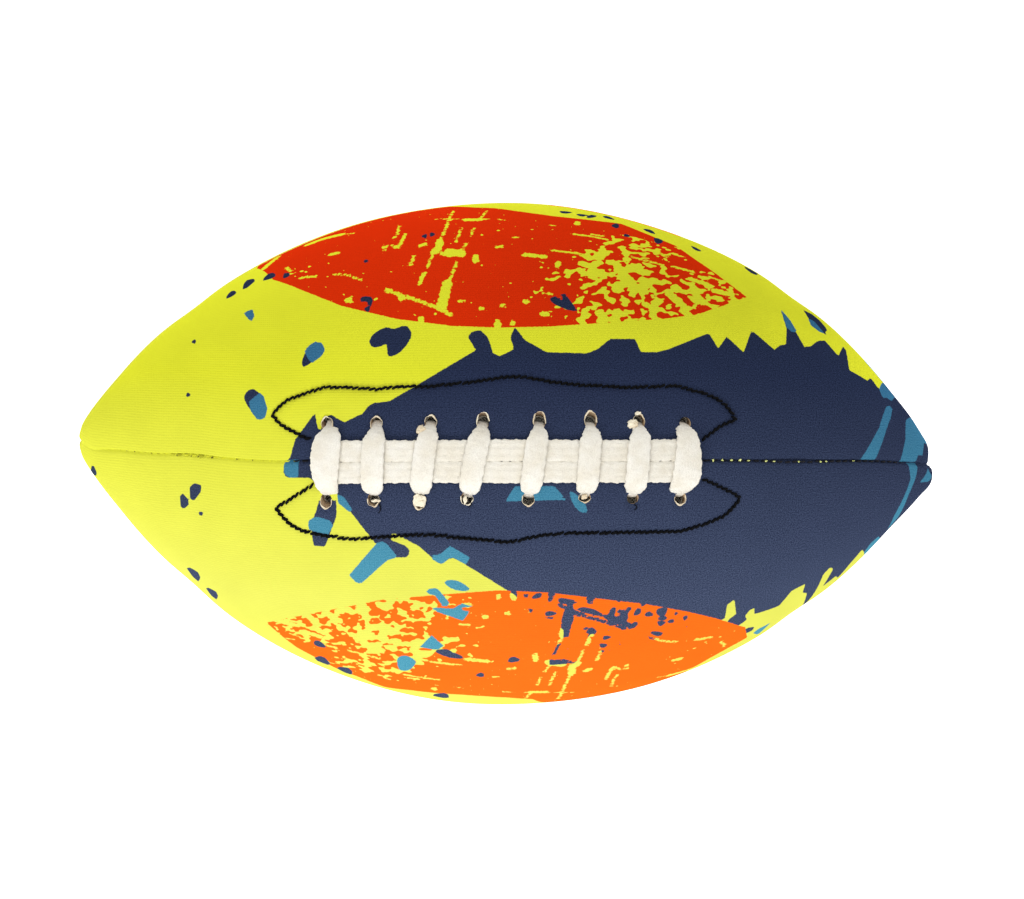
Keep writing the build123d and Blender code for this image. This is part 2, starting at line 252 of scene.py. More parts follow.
TEAL_ROUND = [
    (-20.1, -41.4, -18.3, -41.1, -15.7, -41.4, -13.4, -42.6, -11.9, -43.9, -12.4, -44.7, -15.3, -44.6,
     -17.7, -43.9, -19.6, -42.6),
    (-26.1, -44.7, -24.6, -43.9, -22.6, -43.9, -21.3, -45.2, -18.6, -48.5, -19.3, -49.7, -20.8, -49.4,
     -23.2, -46.2, -24.8, -45.8),
    (-35.5, -66.7, -32.8, -65.7, -29.5, -67.7, -31.5, -70.3, -34.8, -70.3),
    (21, -11.9, 22.6, -12.5, 25.6, -15.2, 26.6, -17.5, 26.6, -18.8, 24.3, -18.5, 21.9, -15.5),
]
# Small navy marks in the orange of the rear half
NAVY_OVER = [
    (-47.8, 51.2, -46.8, 52.1, -44.2, 51.8, -43.6, 50.8, -44.2, 49, -45.3, 49.1, -45.1, 50.2,
     -46.4, 50.5, -47.4, 50.3),
    (14.5, 51.4, 16.3, 51.9, 18.3, 50.6, 19.2, 51.3, 17.8, 52.4, 19.4, 52.8, 23.7, 47, 20.2, 47.6,
     16.3, 49.3, 14.9, 50.4),
]
# Small spots of navy: (x, y, half length, half width, angle in degrees)
NAVY_SPOTS = [
    (-77.7, 58.7, 2.2, 0.9, 25), (-84.7, 56.4, 2.4, 1, 40), (-90.3, 52.8, 1.9, 0.8, 35),
    (-102.5, -12.5, 2.9, 1.8, 70), (-106.1, -15.8, 2.4, 1.3, 100), (-135.5, -5, 1.6, 0.7, 110),
    (-102.8, -39.6, 2.8, 1.1, -45), (-96.5, -45.5, 2.4, 1, -40), (-61.2, -62, 2.1, 0.9, -25),
    (-60.2, -67.3, 2.6, 1, -25), (-52.6, -70.6, 2.6, 0.9, -20), (-21, -78.9, 2.6, 0.8, -5),
    (19.6, 79.5, 2, 0.4, -3), (24.9, 78.6, 1.6, 0.4, -5), (28.2, 78.2, 1.6, 0.5, 10),
    (33.8, 77.9, 1.9, 0.4, -15), (47.4, 73.6, 2, 0.5, -22), (50.2, 70.4, 1.5, 0.9, -20),
    (62.7, 67.8, 1.8, 0.4, -28), (80.9, 60.3, 2.5, 0.5, -30), (39.8, 72, 1, 0.5, -10),
    (-102.8, 37.3, 0.7, 0.7, 0), (-104.8, 19.5, 0.7, 0.7, 0), (-100.5, -19.8, 0.7, 0.7, 0),
    (-45.4, 47.9, 0.9, 0.9, 0), (-26.6, 71.6, 0.8, 0.7, 0), (-24.1, 72.2, 0.8, 0.7, 0),
    (-72.2, 59.1, 1.2, 0.8, 30), (-45.8, 63.5, 0.7, 0.7, 0), (-20.2, -64.8, 2.6, 1.1, -10),
    (-17, -65.9, 3, 0.9, -12), (2.6, -67.3, 1.9, 0.9, 5), (-8.3, -72.3, 1.3, 0.7, 0),
    (36.2, 75.2, 1.2, 0.8, 0), (6.7, -46.2, 0.8, 0.7, 0), (10.4, -46.2, 1.8, 0.8, 20),
    (14.6, -47.4, 0.8, 0.7, 0), (14.6, -52, 1.9, 0.8, 5), (24, -52.4, 0.9, 0.6, 10),
    (27.8, -53.4, 0.6, 0.5, 0), (28.2, -57.7, 1.6, 1.1, 0), (26.2, -56.8, 0.9, 0.5, 0),
    (33.1, -59.8, 1.4, 0.6, 10), (32, -62.4, 1.3, 0.7, 0), (35, -51.7, 2.1, 0.9, 75),
    (38.6, -53.1, 2.3, 1.5, 60), (40.3, -50.6, 1, 0.7, 40), (37.5, -51.2, 1.1, 0.6, -10),
    (41.9, -55.8, 1.9, 0.7, 35), (43.3, -51.4, 1.5, 0.9, 50), (47, -52.2, 1.3, 0.8, 0),
    (51.3, -51.4, 1.9, 1.5, 30), (51, -55.1, 1.2, 0.9, 0), (56, -52, 0.7, 0.6, 0),
    (54.3, -54.5, 1.2, 0.6, 10), (59, -53.4, 0.9, 0.7, 60), (49.6, -58.5, 2.1, 0.7, -8),
    (27.9, -46.8, 1.4, 1, 0), (15, -45.6, 1.2, 1, 0), (37.2, -47.4, 1, 0.7, 0),
    (45.2, -48.7, 1.1, 0.7, 20), (27.9, -51.3, 4.8, 0.9, -15), (35.1, -53.8, 3.4, 1.1, -24),
    (40.1, -55.7, 2.4, 0.8, -17), (19.9, -47.9, 3.2, 0.9, -5), (20.5, -52.5, 4.3, 1.7, 78),
]
# Orange worn away: strokes of a given half width, and whole areas. The rear half's are given;
# the front half wears the same print turned end for end.
WORN_STROKES = [
    (0.7, (-17.2, 80, -22.2, 68.2, -24.4, 64.4, -25.5, 61.6)), (0.9, (-26.6, 59.7, -28.2, 56.1)),
    (1.5, (-21.6, 70, -21.9, 67.7, -23.6, 66.3)), (0.65, (-6.2, 80, -8.1, 77.6)),
    (0.65, (-10.4, 74.3, -11.7, 71.6)), (0.65, (-12.7, 69.6, -13.9, 67.7)),
    (0.65, (-14.5, 74.6, -15.3, 71.9, -16.5, 69.6)), (0.7, (-15.8, 63.3, -18.5, 56.8)),
    (1.9, (-19.1, 56.1, -21, 48.5)), (0.6, (-23, 77.3, -5.7, 77.3)), (1.4, (-13, 77.1, -8.4, 77.1)),
    (0.6, (-2.8, 77.2, 1.2, 76.8)), (0.9, (-21.6, 66, -18.9, 65.2, -15, 65.7)),
    (2.1, (-18.3, 66.5, -14.7, 66)), (0.9, (-38.7, 53.9, -31, 51.2)),
    (0.95, (-31, 51.2, -27.1, 50.1, -17.8, 45.9)), (1.2, (-38.8, 54, -37.8, 53.6)),
    (1.1, (-34.8, 52.5, -34.2, 50.8)), (0.65, (-34.8, 75.3, -35.6, 72, -37, 70.7)),
    (0.8, (-32.9, 72.3, -34.3, 69.3, -35.6, 67.7, -37.6, 68.7)), (1.1, (-27.9, 68.5, -26.2, 69.1)),
    (0.75, (-30, 65.3, -30.7, 63.4)), (0.8, (-31.8, 62, -31, 62.4)), (1.2, (-9.9, 65.2, -9.7, 63.4)),
    (1.2, (-57.6, 65.8, -55.3, 66.3)), (1.8, (-65.2, 69.1, -60.6, 70.8, -54.1, 72.3)),
    (0.7, (-54.1, 72.3, -50, 72.7)), (0.9, (-67.6, 58.3, -62.3, 58.8)),
    (0.75, (-56.3, 59.4, -51.9, 59.1, -47.2, 57.4)), (1.5, (-51.7, 50.8, -51.3, 50.8)),
    (0.8, (-39.9, 68.6, -39.8, 67)), (0.9, (-3.1, 68.2, -0.8, 68.3)), (0.7, (2.5, 71.3, 3.8, 71.3)),
    (1, (-1.2, 49, -0.5, 48.8)), (1, (-8.3, 47.9, -7.8, 47.9)), (0.7, (-15.3, 50.4, -13.7, 50.4)),
    (1.2, (-27.7, 44.9, -27.7, 42.9)), (1.3, (-2.6, 43.6, -2.6, 41.6)), (1, (2.3, 43.6, 2.3, 42.9)),
    (1.3, (-79.9, 61.1, -75, 65.2)), (0.9, (-72.1, 61.7, -70.8, 60.4)), (0.6, (14.7, 75.3, 16.7, 74.9)),
    (1.2, (23.5, 76.2, 23.5, 75.6)), (1.1, (5.9, 65.7, 13, 64.9)), (1.1, (6.4, 50.3, 7.1, 50.3)),
    (1.2, (12, 46.2, 13.4, 46.2)), (0.7, (12, 53.1, 15, 52.8)), (1.1, (17.2, 63, 17, 61.7)),
    (0.75, (14.7, 67.1, 23.5, 66, 28.4, 64.7)), (0.75, (21.8, 72.3, 29, 71.5, 33.8, 70.4)),
    (0.65, (28.4, 72.3, 32.2, 71.8)), (0.75, (41.1, 65, 51.6, 62.4)), (0.8, (55.3, 61.9, 61.9, 60.1)),
    (0.8, (50.7, 66.3, 53.2, 65)), (0.65, (66.4, 58.8, 70.8, 57.2)), (1.4, (68.5, 54.1, 74.1, 52.8)),
    (1.3, (60.9, 57.8, 66.4, 56.1)), (1.5, (61.9, 53.5, 64.8, 50.2)),
    (1.3, (48, 45.5, 48.3, 48.2, 45.7, 49.5)),
]
WORN_AREAS = [
    (35.5, 62.1, 45, 62.7, 48.7, 59.4, 49.9, 53.9, 45.4, 51.8, 41.1, 51.8, 35.5, 52.8, 34.5, 55.5,
     35.5, 58.4),
    (15.2, 57.8, 22.3, 62.1, 27.2, 66.7, 32.2, 68.3, 34.5, 66, 32.2, 63.4, 31.7, 58.8, 30.1, 56.8,
     25.6, 57.8, 23.5, 60.1, 19.6, 56.8, 15.7, 57.2),
    (21.8, 53.5, 25.6, 51.8, 26.8, 48.9, 25.1, 46.9, 23.5, 47.9),
    (54.3, 56.8, 58.6, 51.2, 59.2, 47.9, 54.3, 48.9, 52.6, 51.2),
    (48.3, 68.3, 46.6, 65.4, 44.4, 66, 44.4, 69.3),
]
# Where the orange is mottled all over: (x, y, half length, half width, strength)
MOTTLED = [
    (40, 58, 20, 17, 0.95), (64, 54, 20, 13, 0.95), (44, 68, 18, 9, 0.9), (34, 46, 20, 8, 1.0),
    (53, 47, 18, 7, 1.0), (-66, 60, 10, 5, 0.4), (12, 58, 10, 14, 0.4),
]

# Top-stitching that holds the patches beside the lace, seen from above
STITCH_REAR = (
    -64.2, 5, -67.5, 6.3, -73.8, 9.9, -76.7, 13.2, -73.8, 16.2, -71.1, 18.2, -59.6, 22.1, -52, 22.1,
    -42.7, 21.5, -34.5, 22.4, -26.2, 22.4, -12.7, 23.8, 1.2, 25.7, 6.4, 25.7, 14.7, 24.1, 22.9, 23.1,
    39.1, 22.1, 55.6, 22.8, 62.9, 21.1, 68.8, 18.8, 72.4, 16.5, 75.7, 11.6, 71.1, 9.9, 64.5, 5,
)
STITCH_FRONT = (
    -63.2, -9.9, -75.4, -17.5, -73.8, -19.8, -70.8, -22.8, -67.5, -24.8, -59.2, -26.7, -50.3, -27.7,
    -26.2, -26.1, 1.2, -28.7, 11.7, -26.4, 20, -25.7, 57.3, -25.1, 66.5, -22.4, 71.5, -20.1,
    74.8, -17.5, 77.1, -14.2, 74.8, -12.5, 64.9, -7.9,
)

# Lace holes, as in the CAD model
HOLE_Y = 13.4
HOLE_X_REAR = (-58.6, -42.4, -24.6, -7.4, 11.1, 27.9, 43.7, 58.9)
HOLE_X_FRONT = (-58.9, -43.4, -28.2, -12.7, 7.4, 25.9, 41.7, 57.3)
HOLE_RADIUS = 2.0
VALVE_HOLE_RADIUS = 4.1
# The lace has drawn the knit at each hole: this far open towards the seam, and this far past its
# round edge on the other side, rear row first
DRAWN_IN = 1.4
DRAWN_OUT = (-0.6, -0.6, -0.3, 0.7, 1.0, 1.1, 0.0, -1.0, 0.0, -0.6, 0.4, -1.0, -0.7, -1.9, -1.2, -0.9)


def seen(points):
    """Flat outline of points seen from above, whose edges are straight from there."""
    p = np.array(points, float).reshape(-1, 2)
    steps = np.diff(p, axis=0)
    counts = 1 + (np.hypot(*steps.T) // SEEN_STEP).astype(int)
    parts = [a + step * (np.arange(n) / n)[:, None] for a, step, n in zip(p, steps, counts)]
    return flat(*np.concatenate(parts + [p[-1:]]).T)


def rounded(points, steps=4):
    """Closed smooth curve through a few points (Catmull-Rom)."""
    p = np.array(points, float).reshape(-1, 2)
    before, after, later = np.roll(p, 1, 0), np.roll(p, -1, 0), np.roll(p, -2, 0)
    curve = []
    for k in np.arange(steps) / steps:
        curve.append(
            0.5 * (2 * p + (after - before) * k + (2 * before - 5 * p + 4 * after - later) * k**2
                   + (3 * p - before - 3 * after + later) * k**3)
        )
    return np.stack(curve, 1).reshape(-1, 2)


def spot(x, y, half_length, half_width, degrees, corners=9):
    """Small rough oval."""
    a = circle(corners)
    size = 1 + 0.18 * np.sin(3 * a + x)
    u, v = half_length * size * np.cos(a), half_width * size * np.sin(a)
    c, s = math.cos(math.radians(degrees)), math.sin(math.radians(degrees))
    return np.stack([x + c * u - s * v, y + s * u + c * v], -1)


def line_distance(t, w, points, closed):
    """Distance to a polyline, negative inside it when it is closed."""
    nearest = np.full(t.shape, 1e9)
    inside = np.zeros(t.shape, bool)
    ends = np.roll(points, -1, 0) if closed else points[1:]
    for (t0, w0), (t1, w1) in zip(points, ends):
        dt, dw = t1 - t0, w1 - w0
        k = np.clip(((t - t0) * dt + (w - w0) * dw) / (dt * dt + dw * dw + 1e-9), 0, 1)
        nearest = np.minimum(nearest, np.hypot(t - t0 - k * dt, w - w0 - k * dw))
        if closed and w0 != w1:
            inside ^= ((w0 > w) != (w1 > w)) & (t < dt * (w - w0) / dw + t0)
    return np.where(inside, -nearest, nearest)


def depth_inside(t, w, outlines):
    """How far inside the nearest of several closed outlines a point lies, negative outside."""
    depth = np.full(t.shape, -1e9)
    for outline in outlines:
        depth = np.maximum(depth, -line_distance(t, w, outline, True))
    return np.clip(depth, -20, 20)


def stroke_depth(t, w):
    """How far inside the nearest worn stroke a point of the rear half lies."""
    depth = np.full(t.shape, -20.0)
    for half_width, points in WORN_STROKES:
        depth = np.maximum(depth, half_width - 0.2 - line_distance(t, w, seen(points), False))
    return depth


def mottling(t, w):
    """How strongly the orange is mottled, 0 to 1."""
    total = np.zeros(t.shape)
    for x, y, half_length, half_width, strength in MOTTLED:
        (t0, w0), = seen((x, y))
        away = np.hypot((t - t0) / half_length, (w - w0) / half_width)
        total = np.maximum(total, strength * bell(away, 1, 3))
    bare = depth_inside(t, w, [seen(area) for area in WORN_AREAS])
    return np.maximum(total, 1.25 * np.clip(0.5 + bare / 2, 0, 1))


orange_outlines = [seen(ORANGE_REAR), seen(ORANGE_FRONT)]
navy_outlines = (
    [seen(NAVY_FIELD)] + [seen(p) for p in NAVY_SHARP] + [seen(rounded(p, 3)) for p in NAVY_ROUND]
)
spot_outlines = [seen(p) for p in NAVY_OVER] + [seen(spot(*s)) for s in NAVY_SPOTS]
teal_outlines = [seen(p) for p in TEAL_SHARP] + [seen(rounded(p)) for p in TEAL_ROUND]
stitch_lines = [seen(STITCH_REAR), seen(STITCH_FRONT)]


def hole_places():
    """Flat centres of the sixteen lace holes, rear row first."""
    places = []
    for side, row in ((1, HOLE_X_REAR), (-1, HOLE_X_FRONT)):
        for x in row:
            t = arc_length(x)
            r = meridian(t)[1]
            places.append((t, side * r * math.asin(HOLE_Y / r)))
    return places


holes = hole_places()


# --- Relief of the cover: seams, stitching, holes and a little unevenness ---

SEAM_PITCH = 3.05
PATCH_PITCH = 1.95
PUCKER = 3.8
# Dents, each a sum of (depth, reach): the sewn seam, the pull of each of its stitches, the patch
# stitching and the edge of a hole
SEAM_DENT = ((1.1, 0.55), (0.34, 3.2))
SEAM_PULL = ((0.12, 1.4),)
PATCH_DENT = ((0.45, 0.8), (0.16, 2.6))
HOLE_DENT = ((0.6, 2.6),)
HOLE_RING = (3.6, 0.4, 1.4)         # raised ring round a hole: radius, height, reach
PUCKERS = (1.3, 0.12, 1.1)          # ripples beside the patch stitching: distance, height, reach
UNDER_LACE = 0.35                   # depth of the skin that the lace presses down
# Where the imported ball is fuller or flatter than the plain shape: (middle t, reach, height)
UNEVEN = [(157, 9, 0.8), (165, 3.5, 0.5), (101, 9, -0.7), (-112, 10, -0.7)]


def dent(away, sizes):
    """Depth of a dent at a distance from its middle."""
    return sum(depth * bell(away, reach) for depth, reach in sizes)


def ring(away, radius, height, reach):
    """Height of a raised ring at a distance from its middle."""
    return height * bell(away - radius, reach)


def relief(t, w, phi, turn):
    """Height of the skin above the plain shape of the ball."""
    r = meridian(t)[1]
    # long, low waves, and sides a little fuller than the top
    height = 0.14 * np.sin(t / 23 + 2 * np.sin(phi)) + 0.10 * np.sin(t / 11.0 + 3.1 * phi + 1.7)
    height += 0.35 * np.sin(phi) ** 2
    # the seams' groove is shallower at both noses and in the left end
    fade = (1 - 0.7 * bell(r, 8)) * (1 - 0.4 * ramp(-t, 68, 10))
    fade = fade * (1 - 0.7 * ramp(-t, 152, 12))
    for seam in range(4):
        gap = np.abs((phi - seam * QUARTER + math.pi) % math.tau - math.pi) * r
        pull = 0.5 + 0.5 * np.cos(math.tau * t / SEAM_PITCH)
        height -= fade * dent(gap, SEAM_DENT) + pull * dent(gap, SEAM_PULL)
    if turn == 0:
        for line in stitch_lines:
            away = line_distance(t, w, line, False)
            ripple = np.cos(math.tau * t / PUCKER) * np.cos(math.tau * w / PUCKER)
            height += ripple * ring(away, *PUCKERS) - dent(away, PATCH_DENT)
        height -= UNDER_LACE * bell(w, 8.6, 6) * bell(t, 66.0, 10)
        for hole_t, hole_w in holes:
            away = np.hypot(t - hole_t, w - hole_w)
            height += ring(away, *HOLE_RING) - dent(away, HOLE_DENT)
    height += 0.5 * ramp(-t, 146, 14)
    for middle, reach, bulge in UNEVEN:
        height += bulge * bell(t - middle, reach)
    # at the right tip the front panel's corner stands out, and the very end is sunk, most at the rear
    height += bell(t - 167, 8) * bell(phi + 1.15, 0.6)
    return height - 0.7 * bell(t - 172, 5) * (1.3 + np.sin(phi))


# --- Mesh making ---

def added(name, data):
    """New object in the scene."""
    thing = bpy.data.objects.new(name, data)
    bpy.context.scene.collection.objects.link(thing)
    return thing


def make_piece(name, points, faces, materials, face_material=None):
    """Mesh object from points in millimetres; faces is a list of index lists."""
    mesh = bpy.data.meshes.new(name)
    mesh.from_pydata((np.asarray(points) * MM).tolist(), [], [list(map(int, f)) for f in faces])
    for material in materials:
        mesh.materials.append(material)
    if face_material is not None:
        mesh.polygons.foreach_set("material_index", np.asarray(face_material, np.int32))
    mesh.polygons.foreach_set("use_smooth", np.ones(len(mesh.polygons), bool))
    mesh.update()
    piece = added(name, mesh)
    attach(piece, "root")
    return piece


def dress(mesh, material):
    """Gives a mesh from the CAD model its material."""
    mesh.materials.clear()
    mesh.materials.append(material)


def store(piece, name, values):
    """Per-vertex number or vector for the material."""
    values = np.asarray(values, np.float32)
    kind = "FLOAT" if values.ndim == 1 else "FLOAT_VECTOR"
    field = "value" if values.ndim == 1 else "vector"
    piece.data.attributes.new(name, kind, "POINT").data.foreach_set(field, values.ravel())


def ring_faces(rings, count):
    """Quads that join closed rings of points, one after another, with flat ends."""
    faces = []
    for i in range(rings - 1):
        for j in range(count):
            k = (j + 1) % count
            faces.append((i * count + j, i * count + k, (i + 1) * count + k, (i + 1) * count + j))
    faces.append(tuple(reversed(range(count))))
    faces.append(tuple((rings - 1) * count + j for j in range(count)))
    return faces


class Gather:
    """Collects many small meshes into one piece."""

    def __init__(self):
        self.points, self.faces, self.start = [], [], 0

    def add(self, points, faces):
        self.points.append(np.asarray(points))
        self.faces += [tuple(self.start + i for i in f) for f in faces]
        self.start += len(points)

    def piece(self, name, material):
        return make_piece(name, np.concatenate(self.points), self.faces, [material])


# --- Materials ---

class Paint:
    """Node material built up from short calls. Each call returns an output socket."""

    def __init__(self, name, roughness, sheen=0.0, specular=0.3):
        self.material = bpy.data.materials.new(name)
        self.material.use_nodes = True
        self.nodes = self.material.node_tree.nodes
        self.shader = self.nodes["Principled BSDF"]
        self.shader.inputs["Roughness"].default_value = roughness
        self.shader.inputs["Sheen Weight"].default_value = sheen
        self.shader.inputs["Sheen Roughness"].default_value = 0.5
        self.shader.inputs["Specular IOR Level"].default_value = specular

    def put(self, socket, value):
        if isinstance(value, bpy.types.NodeSocket):
            self.material.node_tree.links.new(value, socket)
        elif isinstance(value, tuple) and socket.type == "RGBA":
            socket.default_value = (*value, 1)
        else:
            socket.default_value = value

    def node(self, kind, settings=(), output=0, **inputs):
        made = self.nodes.new("ShaderNode" + kind)
        for key, value in dict(settings).items():
            setattr(made, key, value)
        for key, value in inputs.items():
            self.put(made.inputs[key.replace("_", " ")], value)
        return made.outputs[output]

    def field(self, name, output="Fac"):
        return self.node("Attribute", {"attribute_name": name}, output)

    def here(self):
        """Place on the object, in metres."""
        return self.node("TexCoord", output="Object")

    def axes(self, vector):
        made = self.nodes.new("ShaderNodeSeparateXYZ")
        self.put(made.inputs[0], vector)
        return made.outputs

    def math(self, operation, *values):
        made = self.nodes.new("ShaderNodeMath")
        made.operation = operation
        for socket, value in zip(made.inputs, values):
            self.put(socket, value)
        return made.outputs[0]

    def plus(self, first, second):
        return self.math("ADD", first, second)

    def times(self, first, second):
        return self.math("MULTIPLY", first, second)

    def wave(self, value, period):
        return self.math("SINE", self.times(value, 2 * math.pi / period))

    def ramp(self, value, low, high, to_low=0.0, to_high=1.0):
        """Straight ramp of a value, held at both ends."""
        return self.node(
            "MapRange", {"clamp": True},
            Value=value, From_Min=low, From_Max=high, To_Min=to_low, To_Max=to_high,
        )

    def mix(self, factor, first, second, blend="MIX"):
        made = self.nodes.new("ShaderNodeMix")
        made.data_type = "RGBA"
        made.blend_type = blend
        for index, value in ((0, factor), (6, first), (7, second)):
            self.put(made.inputs[index], value)
        return made.outputs[2]

    def scaled(self, vector, x, y):
        return self.node("Mapping", {"vector_type": "POINT"}, Vector=vector, Scale=(x, y, 1.0))

    def noise(self, vector, scale, detail=2.0, roughness=0.5):
        return self.node("TexNoise", Vector=vector, Scale=scale, Detail=detail, Roughness=roughness)

    def shaken(self, vector, scale, detail, roughness, size):
        """Noise about zero, for rough edges."""
        return self.times(self.math("SUBTRACT", self.noise(vector, scale, detail, roughness), 0.5), size)

    def finish(self, color, height=None, distance=0.0, strength=1.0):
        """The material with this colour and, given a height, a bump of that distance in metres."""
        self.put(self.shader.inputs["Base Color"], color)
        if height is not None:
            bump = self.node("Bump", Height=height, Distance=distance, Strength=strength)
            self.put(self.shader.inputs["Normal"], bump)
        return self.material


def linear(red, green, blue):
    """Scene colour of a colour given as 0 to 255."""
    shares = (red / 255, green / 255, blue / 255)
    return tuple(c / 12.92 if c <= 0.04045 else ((c + 0.055) / 1.055) ** 2.4 for c in shares)


# Inks on the rear and the front half of the print. The front inks are paler partly as print and partly as
# painted light: the light and sheen that fall on the front half are painted into them. Navy and teal have a
# second, paler speckle.
YELLOW = linear(221, 224, 49), linear(216, 217, 91)
ORANGE = linear(214, 47, 10), linear(241, 106, 26)
NAVY = linear(23, 30, 51), linear(37, 45, 69)
NAVY_FLECK = linear(49, 59, 88), linear(80, 91, 118)
TEAL = linear(40, 92, 128), linear(58, 130, 154)
TEAL_FLECK = linear(66, 120, 154), linear(90, 158, 180)
INK_EDGE = 0.12
RIB_PITCH = 0.9
LOOP_PITCH = 0.75


def printed_fabric():
    """Knitted face printed in four flat inks, with worn orange, fine ribs and speckle, with painted light on
    the front half and painted shade at the rear right.
    """
    p = Paint("printed_fabric", roughness=0.9, specular=0.0)
    where = p.field("flat", "Vector")
    along, across, _ = p.axes(where)
    wobble = p.shaken(where, 1.3, 2.0, 0.5, 0.55)
    rough_wobble = p.shaken(where, 0.8, 3.0, 0.6, 2.0)

    def inked(name, shake):
        return p.ramp(p.plus(p.field(name), shake), -INK_EDGE, INK_EDGE)

    # orange: worn strokes and areas, mottled patches, and small specks everywhere
    mottle = p.noise(p.scaled(where, 0.29, 0.34), 1.0, 1.1)
    blotches = p.ramp(p.plus(mottle, p.times(p.field("mottled"), 0.29)), 0.755, 0.765)
    specks = p.ramp(p.noise(where, 0.75, 1.0), 0.755, 0.765)
    gone = p.math("MAXIMUM", p.math("MAXIMUM", blotches, specks), inked("worn", rough_wobble))
    left = p.times(inked("orange", wobble), p.math("SUBTRACT", 1.0, gone))

    # the front half of the print has paler inks, partly print and partly painted light and sheen from the
    # lamp in front
    front = p.ramp(across, 30, -50)
    speckle = p.noise(where, 2.4, 3.0, 0.8)
    flecks = p.ramp(speckle, 0.38, 0.62)
    navy = p.mix(flecks, p.mix(front, *NAVY), p.mix(front, *NAVY_FLECK))
    teal = p.mix(flecks, p.mix(front, *TEAL), p.mix(front, *TEAL_FLECK))
    cloth = p.mix(inked("navy", wobble), p.mix(front, *YELLOW), navy)
    cloth = p.mix(left, cloth, p.mix(front, *ORANGE))
    cloth = p.mix(inked("spots", 0.1), cloth, navy)
    cloth = p.mix(inked("teal", wobble), cloth, teal)
    # all inks are deeper in soft patches, and the colour is a little darker between the ribs; towards the
    # rear print's far right it is darkened as painted shade
    rib = p.wave(across, RIB_PITCH)
    painted_shade_rear_right = p.times(p.ramp(across, 30, 60), p.ramp(along, -20, 60))
    depth = p.ramp(p.noise(where, 0.05, 3.0), 0.3, 0.7, 0.95, 1.0)
    depth = p.times(depth, p.ramp(p.plus(rib, speckle), -0.4, 1.0, 0.95, 1.0))
    # painted shade: the colour darkens towards the rear print's far right
    depth = p.times(depth, p.ramp(painted_shade_rear_right, 0, 1, 1.0, 0.8))
    cloth = p.mix(1.0, cloth, p.node("CombineColor", Red=depth, Green=depth, Blue=depth), "MULTIPLY")

    # knit: ribs along the ball crossed by the stitches of each rib
    knit = p.plus(p.times(rib, 0.45), p.times(p.times(rib, p.wave(along, LOOP_PITCH)), 0.4))
    return p.finish(cloth, p.plus(knit, p.times(speckle, 1.6)), 0.00006, 0.8)


def raw_foam():
    """Cut edge and back of the foam: scorched brown, cream where it is thin, finely porous."""
    p = Paint("raw_foam", roughness=0.95)
    where = p.here()
    pores = p.noise(where, 1500, 3.0, 0.7)
    color = p.mix(p.ramp(p.noise(where, 260), 0.35, 0.65), linear(112, 82, 62), linear(186, 158, 124))
    color = p.mix(p.ramp(pores, 0.3, 0.7, 0.0, 0.35), color, linear(226, 206, 172))
    return p.finish(color, pores, 0.0004, 0.6)


def frayed_knit():
    """White back of the knit, turned out and frayed round the lace holes."""
    p = Paint("frayed_knit", roughness=0.95, sheen=0.1)
    where = p.here()
    color = p.mix(p.ramp(p.noise(where, 170), 0.4, 0.65), linear(240, 230, 205), linear(220, 200, 168))
    return p.finish(color, p.noise(where, 1300, 3.0, 0.7), 0.0004, 0.8)


def seam_fleck_and_hole_shade():
    """Bits of backing in the seam, lime where the print is navy; brown where it is yellow, as painted shade
    in the needle holes.
    """
    p = Paint("seam_fleck_and_hole_shade", roughness=0.9)
    where = p.here()
    tint = p.noise(where, 900, 1.0)
    lime = p.mix(tint, linear(190, 200, 90), linear(236, 240, 170))
    # brown: painted shade of the needle holes in the yellow end's seam
    brown = p.mix(tint, linear(70, 62, 14), linear(110, 100, 24))
    return p.finish(p.mix(p.ramp(p.axes(where)[0], -0.01, 0.01), brown, lime))


def cotton_lace():
    """Thick soft cotton: ribs of yarn with a fuzzy face."""
    p = Paint("cotton_lace", roughness=0.92, sheen=0.35, specular=0.12)
    where = p.field("flat", "Vector")
    yarn = p.noise(p.scaled(where, 0.55, 3.2), 1.0, 3.0, 0.6)
    fuzz = p.noise(where, 2.6, 4.0, 0.75)
    color = p.mix(p.ramp(p.noise(where, 0.16), 0.35, 0.7), linear(250, 246, 235), linear(240, 233, 216))
    color = p.mix(p.ramp(fuzz, 0.35, 0.6, 0.3, 0.0), color, linear(196, 187, 170))
    return p.finish(color, p.plus(p.times(yarn, 0.7), fuzz), 0.0005, 0.7)


def sewing_thread():
    """Black twisted polyester."""
    p = Paint("black_thread", roughness=0.7, specular=0.08)
    twist = p.noise(p.here(), 2600)
    return p.finish(p.mix(twist, linear(2, 2, 3), linear(12, 12, 15)), twist, 0.0002, 0.7)


def seam_thread():
    """Seam thread: olive in the yellow end, black in the navy end."""
    p = Paint("seam_thread", roughness=0.65, specular=0.2)
    where = p.here()
    twist = p.noise(where, 2600)
    dark = p.mix(twist, linear(6, 6, 10), linear(24, 24, 32))
    olive_end = p.mix(p.ramp(p.noise(where, 350, 1.0), 0.45, 0.62), linear(208, 208, 40), linear(168, 166, 34))
    color = p.mix(p.ramp(p.axes(where)[0], -0.071, -0.069), olive_end, dark)
    return p.finish(color, twist, 0.0002, 0.7)


def woven(name, light, dark):
    """Plain weave, for the lining, the patches and the guard."""
    p = Paint(name, roughness=0.9)
    x, y, _ = p.axes(p.here())
    weave = p.times(p.wave(x, 0.0011), p.wave(y, 0.0011))
    return p.finish(p.mix(p.ramp(weave, -1, 1), dark, light), weave, 0.0002, 0.6)


def moulded_rubber(name, dark, light, roughness):
    """Smooth black rubber with a faint bloom."""
    p = Paint(name, roughness=roughness, specular=0.45)
    where = p.here()
    bloom = p.noise(where, 90, 4.0, 0.6)
    p.put(p.shader.inputs["Roughness"], p.ramp(bloom, 0.3, 0.7, roughness - 0.08, roughness + 0.1))
    return p.finish(p.mix(p.ramp(bloom, 0.35, 0.75), dark, light), p.noise(where, 2200), 0.0001, 0.5)


